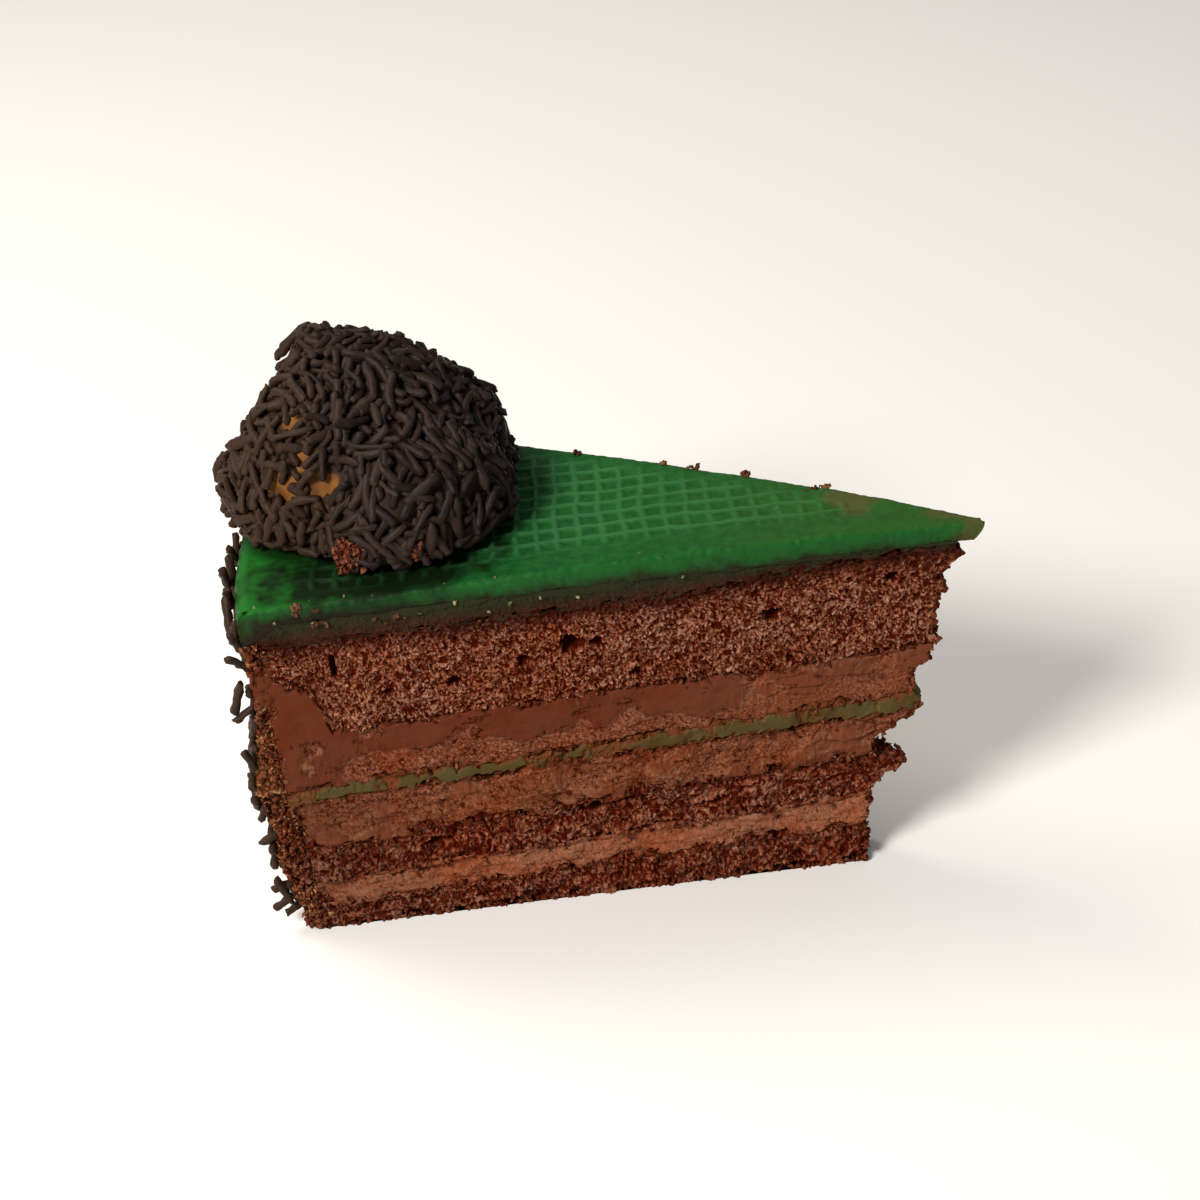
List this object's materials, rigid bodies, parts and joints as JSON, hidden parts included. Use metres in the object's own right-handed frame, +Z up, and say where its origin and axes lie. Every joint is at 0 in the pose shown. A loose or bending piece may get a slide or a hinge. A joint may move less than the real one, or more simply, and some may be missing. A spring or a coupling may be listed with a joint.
{
  "type": "mozart torte slice",
  "caption": "Wedge slice of layered chocolate sponge and cream under green marzipan, with a domed truffle rolled in chocolate sprinkles at its wide end.",
  "frame": {"origin": "middle of the slice's box, at its flat base", "axes": "+X towards the pointed end, +Z up, the near cut face looks along -Y"},
  "size_m": [0.1248, 0.0658, 0.0947],
  "materials": {
    "dark_sponge": "matt porous crumb",
    "light_cream": "soft torn cream",
    "green_filling": "moist paste",
    "cream": "smooth cut cream",
    "sponge": "matt porous crumb",
    "cover_cream": "smooth cut cream",
    "marzipan": "soft satin, pressed with small squares",
    "side_coat": "cream under chocolate sprinkles",
    "truffle": "chocolate sprinkles over truffle cream"
  },
  "bodies": {
    "root": {"bottom_sponge": "dark_sponge", "lower_cream": "light_cream", "middle_sponge": "dark_sponge", "middle_cream": "light_cream", "green_layer": "green_filling", "upper_cream": "cream", "top_sponge": "sponge", "cover_cream": "cover_cream", "marzipan_cover": "marzipan", "side_coat": "side_coat", "truffle": "truffle"}
  },
  "joints": []
}
